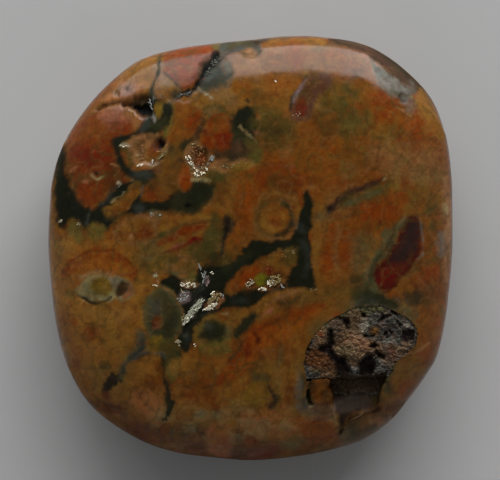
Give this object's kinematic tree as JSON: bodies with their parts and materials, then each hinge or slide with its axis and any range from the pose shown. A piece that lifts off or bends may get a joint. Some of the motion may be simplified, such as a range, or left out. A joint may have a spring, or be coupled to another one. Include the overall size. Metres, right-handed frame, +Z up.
{
  "type": "polished orbicular rhyolite stone with an open vug",
  "caption": "Tumbled palm-size slab of orbicular rhyolite: rounded-square polished face in rust, ochre and dark green, with a crystal-lined hollow near one corner",
  "frame": {"origin": "centre of the flat spot on the underside that the stone rests on, below the middle of its outline", "axes": "+X is the short way across the polished face, +Y its long way with the vug at the -Y end, +Z is up out of the face"},
  "size_m": [0.045, 0.0472, 0.0135],
  "materials": {
    "polished_rhyolite": "polished, glossy",
    "drusy_quartz": "fine crystal grains, sparkling"
  },
  "bodies": {
    "root": {"stone": "polished_rhyolite", "vug_crust": "drusy_quartz"}
  },
  "joints": []
}
